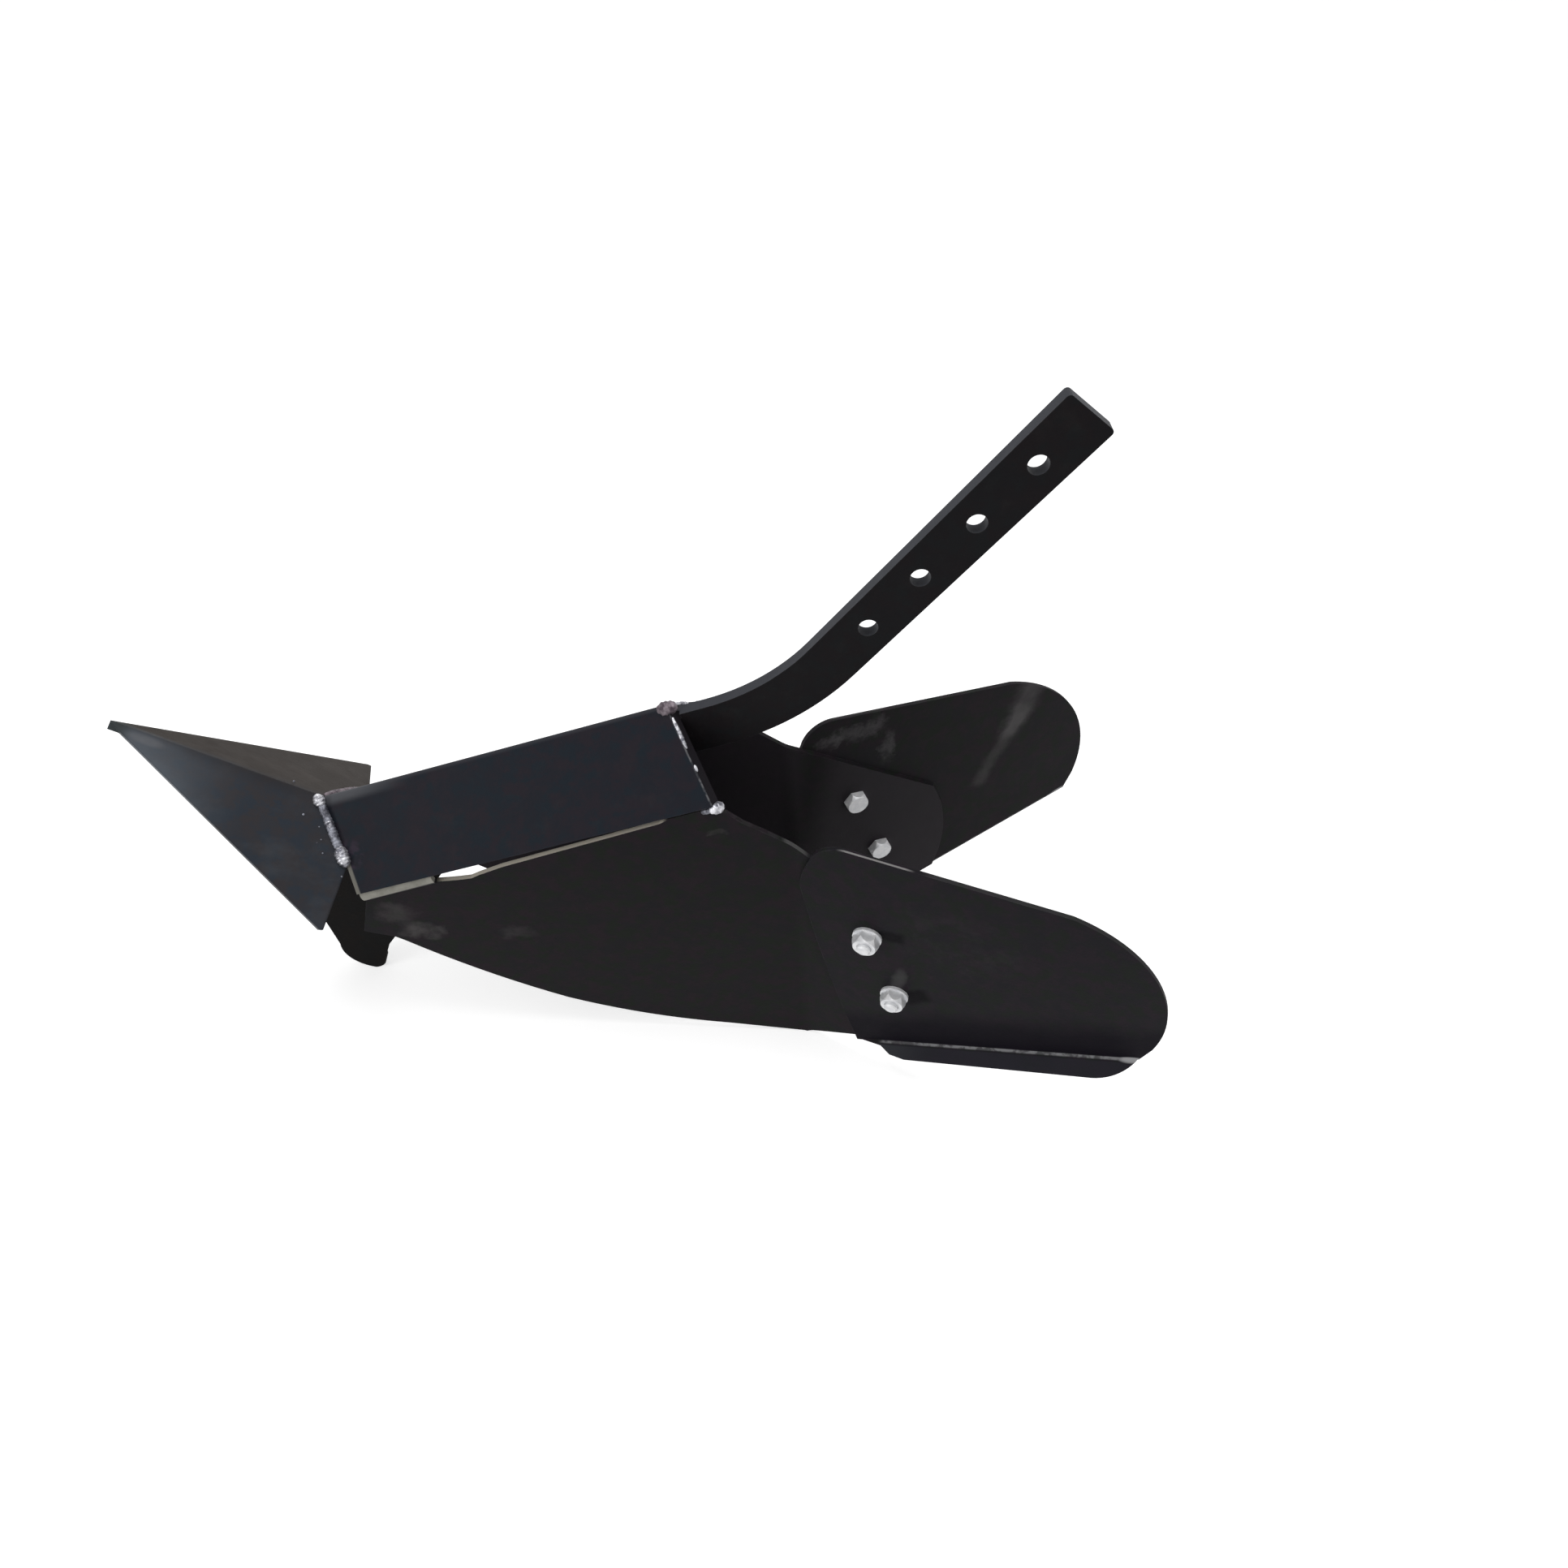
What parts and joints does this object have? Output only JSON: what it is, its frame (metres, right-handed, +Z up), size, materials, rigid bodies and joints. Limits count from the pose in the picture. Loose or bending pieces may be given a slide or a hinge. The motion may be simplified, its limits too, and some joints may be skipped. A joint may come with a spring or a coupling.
{
  "type": "tiller ridger attachment",
  "caption": "Welded steel ridger for a walking tiller: flat bar shank with pin holes, angle breast, folded point, foot plate, bent moldboards and bolted wings with a folded lip",
  "frame": {"origin": "bottom centre of the whole part's bounding box, on the ground it stands on", "axes": "+X from the point of the share towards the wings, +Y towards the right wing as the tiller travels, +Z up, as the part stands when it is put down"},
  "size_m": [0.6982, 0.274, 0.5411],
  "materials": {
    "shank_paint": "satin",
    "breast_paint": "satin",
    "share_paint": "satin",
    "moldboard_paint": "satin",
    "wing_paint": "satin",
    "weld_metal": "rough",
    "zinc_steel": "zinc plated"
  },
  "bodies": {
    "root": {"shank": "shank_paint", "breast": "breast_paint", "share": "share_paint", "foot_plate": "shank_paint", "ridge_weld": "weld_metal", "left_moldboard": "moldboard_paint", "left_wing": "wing_paint", "left_share_weld": "weld_metal", "left_moldboard_front_weld": "weld_metal", "left_moldboard_rear_weld": "weld_metal", "left_breast_rear_weld": "weld_metal", "left_bolt_1": "zinc_steel", "left_bolt_2": "zinc_steel", "left_washer_1": "zinc_steel", "left_washer_2": "zinc_steel", "left_nut_1": "zinc_steel", "left_nut_2": "zinc_steel", "right_moldboard": "moldboard_paint", "right_wing": "wing_paint", "right_share_weld": "weld_metal", "right_moldboard_front_weld": "weld_metal", "right_moldboard_rear_weld": "weld_metal", "right_breast_rear_weld": "weld_metal", "right_bolt_1": "zinc_steel", "right_bolt_2": "zinc_steel", "right_washer_1": "zinc_steel", "right_washer_2": "zinc_steel", "right_nut_1": "zinc_steel", "right_nut_2": "zinc_steel"}
  },
  "joints": []
}
